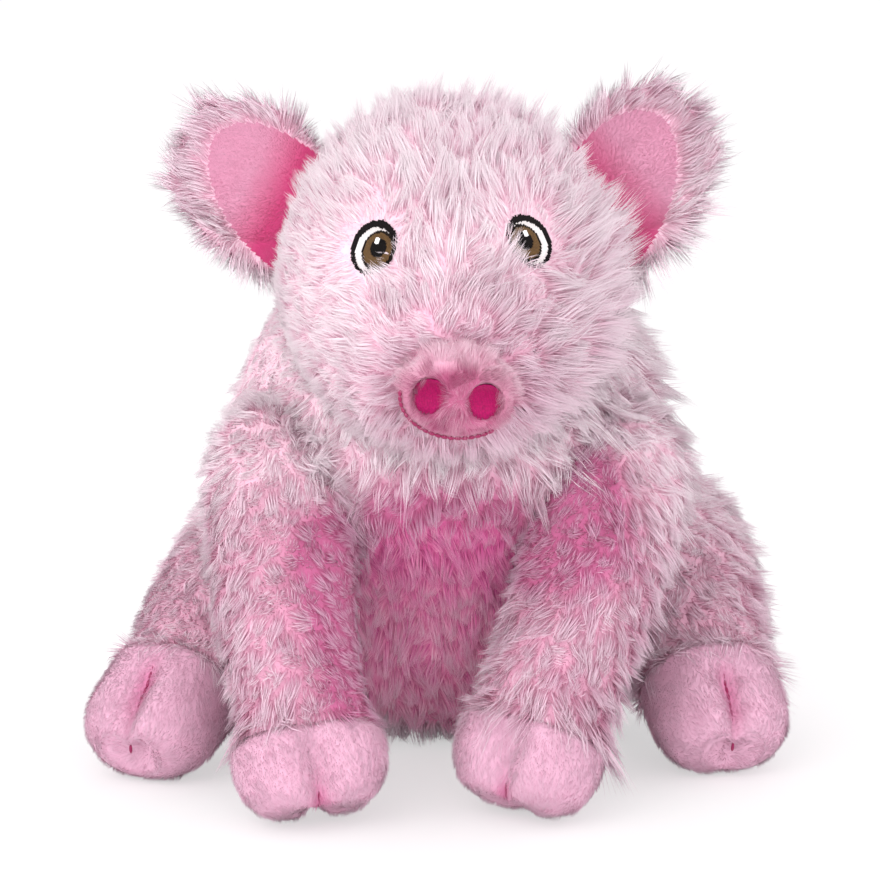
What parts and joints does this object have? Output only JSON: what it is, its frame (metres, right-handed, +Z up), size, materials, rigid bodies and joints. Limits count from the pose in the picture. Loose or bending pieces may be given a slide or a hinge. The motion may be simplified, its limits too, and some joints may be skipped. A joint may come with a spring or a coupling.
{
  "type": "plush pig",
  "caption": "Seated stuffed pig with long two-tone pile, cloven hooves, cupped ears and a snout, whose head, limbs, ears and tail flex at their seams.",
  "frame": {"origin": "middle of the flat patch of the seat, on the surface that the toy sits on", "axes": "+Z up, -Y the way the pig faces, +X to the pig's own left"},
  "size_m": [0.2047, 0.2, 0.2039],
  "materials": {
    "long_pile": "long two-tone polyester pile, deep pink roots and frosted pale tips",
    "belly_pile": "short dense pile, nap down",
    "short_pile": "short velvety pile",
    "ear_lining": "short velvety pile",
    "snout_pile": "short fuzzy pile",
    "stuffing": "loose polyester fibre",
    "seam_thread": "spun sewing thread",
    "nostril_thread": "satin stitch embroidery",
    "eye_black": "satin stitch embroidery",
    "eye_white": "satin stitch embroidery",
    "eye_brown": "satin stitch embroidery"
  },
  "bodies": {
    "torso": {"torso_cover_left": "long_pile", "torso_cover_right": "long_pile", "belly_panel": "belly_pile", "seat_panel": "long_pile", "torso_stuffing": "stuffing", "closing_seam": "seam_thread"},
    "neck": {"neck_stuffing": "stuffing"},
    "head": {"head_cover_left": "long_pile", "head_cover_right": "long_pile", "head_stuffing": "stuffing", "snout_panel": "snout_pile", "nostril_right": "nostril_thread", "nostril_left": "nostril_thread", "mouth_seam": "seam_thread", "eye_right_outline": "eye_black", "eye_right_white": "eye_white", "eye_right_iris": "eye_brown", "eye_right_pupil": "eye_black", "eye_right_light": "eye_white", "eye_left_outline": "eye_black", "eye_left_white": "eye_white", "eye_left_iris": "eye_brown", "eye_left_pupil": "eye_black", "eye_left_light": "eye_white"},
    "ear_right": {"ear_right_back": "long_pile", "ear_right_lining": "ear_lining"},
    "ear_left": {"ear_left_back": "long_pile", "ear_left_lining": "ear_lining"},
    "arm_right": {"arm_right_sleeve": "long_pile", "arm_right_hoof": "short_pile", "arm_right_stuffing": "stuffing", "arm_right_cleft_thread": "seam_thread"},
    "arm_left": {"arm_left_sleeve": "long_pile", "arm_left_hoof": "short_pile", "arm_left_stuffing": "stuffing", "arm_left_cleft_thread": "seam_thread"},
    "leg_right": {"leg_right_sleeve": "long_pile", "leg_right_foot": "short_pile", "leg_right_stuffing": "stuffing", "leg_right_cleft_thread": "seam_thread"},
    "leg_left": {"leg_left_sleeve": "long_pile", "leg_left_foot": "short_pile", "leg_left_stuffing": "stuffing", "leg_left_cleft_thread": "seam_thread"},
    "tail": {"tail_cover": "short_pile"}
  },
  "joints": [
    {"name": "neck_turn", "type": "hinge", "parent": "torso", "child": "neck", "pos_m": [0, -0.028, 0.094], "axis": [0, -0.342, 0.9397], "range_deg": [-14, 14], "stiffness_Nm_per_rad": 0.8},
    {"name": "head_nod", "type": "hinge", "parent": "neck", "child": "head", "pos_m": [0, -0.028, 0.094], "axis": [1, 0, 0], "range_deg": [-8, 5], "stiffness_Nm_per_rad": 1.2},
    {"name": "ear_right_flap", "type": "hinge", "parent": "head", "child": "ear_right", "pos_m": [-0.04311, -0.05, 0.168], "axis": [0.4352, 0.1253, 0.8916], "range_deg": [-12, 12], "stiffness_Nm_per_rad": 0.02},
    {"name": "ear_left_flap", "type": "hinge", "parent": "head", "child": "ear_left", "pos_m": [0.0431, -0.05, 0.168], "axis": [0.6505, -0.1057, -0.7521], "range_deg": [-12, 12], "stiffness_Nm_per_rad": 0.02},
    {"name": "arm_right_swing", "type": "hinge", "parent": "torso", "child": "arm_right", "pos_m": [-0.04658, -0.06061, 0.09002], "axis": [-1, 0, 0], "range_deg": [-5, 15], "stiffness_Nm_per_rad": 0.3},
    {"name": "arm_left_swing", "type": "hinge", "parent": "torso", "child": "arm_left", "pos_m": [0.04658, -0.06061, 0.09002], "axis": [-1, 0, 0], "range_deg": [-5, 15], "stiffness_Nm_per_rad": 0.3},
    {"name": "leg_right_swing", "type": "hinge", "parent": "torso", "child": "leg_right", "pos_m": [-0.04927, 0, 0.047], "axis": [-1, 0, 0], "range_deg": [-3, 15], "stiffness_Nm_per_rad": 0.3},
    {"name": "leg_left_swing", "type": "hinge", "parent": "torso", "child": "leg_left", "pos_m": [0.06, 0, 0.047], "axis": [-1, 0, 0], "range_deg": [-3, 15], "stiffness_Nm_per_rad": 0.3},
    {"name": "tail_wag", "type": "hinge", "parent": "torso", "child": "tail", "pos_m": [0, 0.048, 0.076], "axis": [0, 0, 1], "range_deg": [-15, 15], "stiffness_Nm_per_rad": 0.01}
  ]
}
